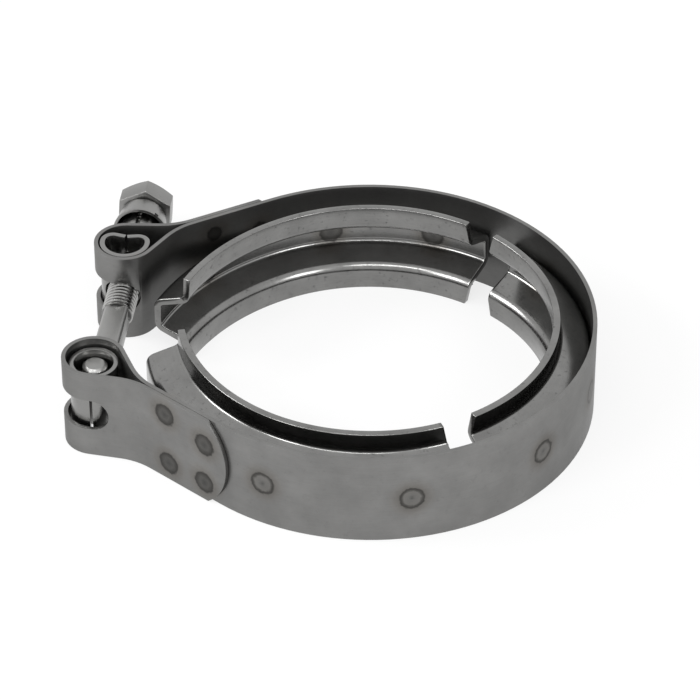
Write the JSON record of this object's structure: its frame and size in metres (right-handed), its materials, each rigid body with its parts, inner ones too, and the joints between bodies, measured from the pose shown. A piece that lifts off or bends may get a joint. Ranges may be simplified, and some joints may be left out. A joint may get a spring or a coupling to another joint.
{
  "type": "v band clamp",
  "caption": "Round band clamp for joining two flanged exhaust tubes: a steel strap with looped ends, V-section segments inside it, and a T-bolt with a nut across its opening.",
  "frame": {"origin": "on the clamp axis, in the plane that the lower lips of the retainers rest on", "axes": "+Z along the clamp axis, -X towards the two loops and the bolt, +Y along the bolt towards its nut"},
  "size_m": [0.1257, 0.1119, 0.0245],
  "materials": {
    "strap_steel": "satin",
    "retainer_steel": "satin",
    "sleeve_steel": "satin",
    "bolt_steel": "satin"
  },
  "bodies": {
    "band": {"strap": "strap_steel", "retainer_right": "retainer_steel", "retainer_back": "retainer_steel", "retainer_front": "retainer_steel"},
    "bolt": {"t_bolt": "bolt_steel", "front_sleeve": "sleeve_steel", "spacer_tube": "sleeve_steel"},
    "back_trunnion": {"back_sleeve": "sleeve_steel"},
    "cup": {"cup_washer": "bolt_steel"},
    "nut": {"hex_nut": "bolt_steel"}
  },
  "joints": [
    {"name": "t_bolt_swing", "type": "hinge", "parent": "band", "child": "bolt", "pos_m": [-0.06352, -0.02308, 0.01225], "axis": [0, 0, 1], "range_deg": [-0.5, 0.5]},
    {"name": "back_sleeve_turn", "type": "hinge", "parent": "band", "child": "back_trunnion", "pos_m": [-0.06352, 0.02278, 0.01225], "axis": [0, 0, 1], "range_deg": [-0.5, 0.5]},
    {"name": "nut_travel", "type": "slide", "parent": "bolt", "child": "cup", "axis": [0, 1, 0], "range_m": [0, 0.0055]},
    {"name": "nut_spin", "type": "hinge", "parent": "cup", "child": "nut", "pos_m": [-0.06352, 0.05345, 0.01225], "axis": [0, 1, 0], "range_deg": [0, 1585]}
  ],
  "couplings": [
    {"joint": "back_sleeve_turn", "follows": "t_bolt_swing", "ratio": 1},
    {"joint": "nut_spin", "follows": "nut_travel", "rad_per_m": 5026.5}
  ]
}
